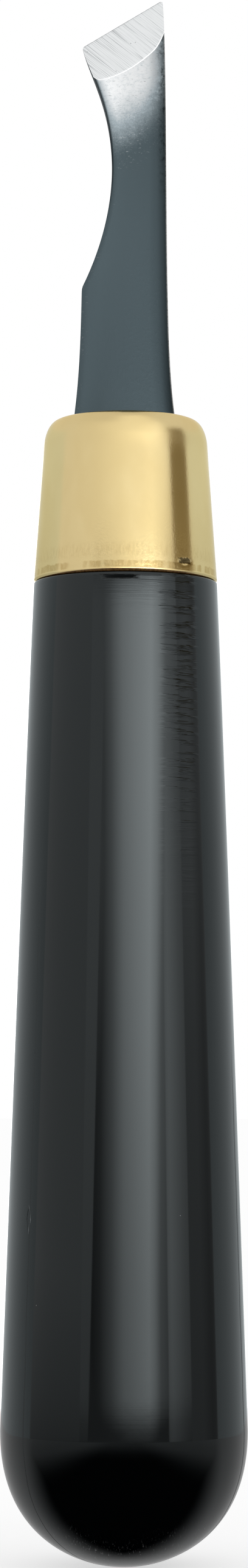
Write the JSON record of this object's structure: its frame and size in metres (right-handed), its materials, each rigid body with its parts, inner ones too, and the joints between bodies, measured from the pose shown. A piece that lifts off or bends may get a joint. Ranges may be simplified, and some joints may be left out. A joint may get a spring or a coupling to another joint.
{
  "type": "lino cutting tool",
  "caption": "Hand tool for cutting linoleum: skew-ground blade with a hollow flank, its tang set through a drawn brass ferrule into a turned, black-lacquered wooden handle.",
  "frame": {"origin": "lowest point of the handle's rounded butt, on the tool's axis", "axes": "+Z along the tool's axis from the butt to the cutting edge; -Y is the side that the bevel faces; -X is the side of the hollow flank"},
  "size_m": [0.0216, 0.0216, 0.1382],
  "materials": {
    "black_lacquer": "gloss black lacquer over turned wood, faint turning lines near the ferrule",
    "brass": "drawn and lightly polished, crimped at the mouth",
    "blued_steel": "slate blue temper colour on the shank, polished bright towards the ground bevel"
  },
  "bodies": {
    "root": {"handle": "black_lacquer", "ferrule": "brass", "blade": "blued_steel"}
  },
  "joints": []
}
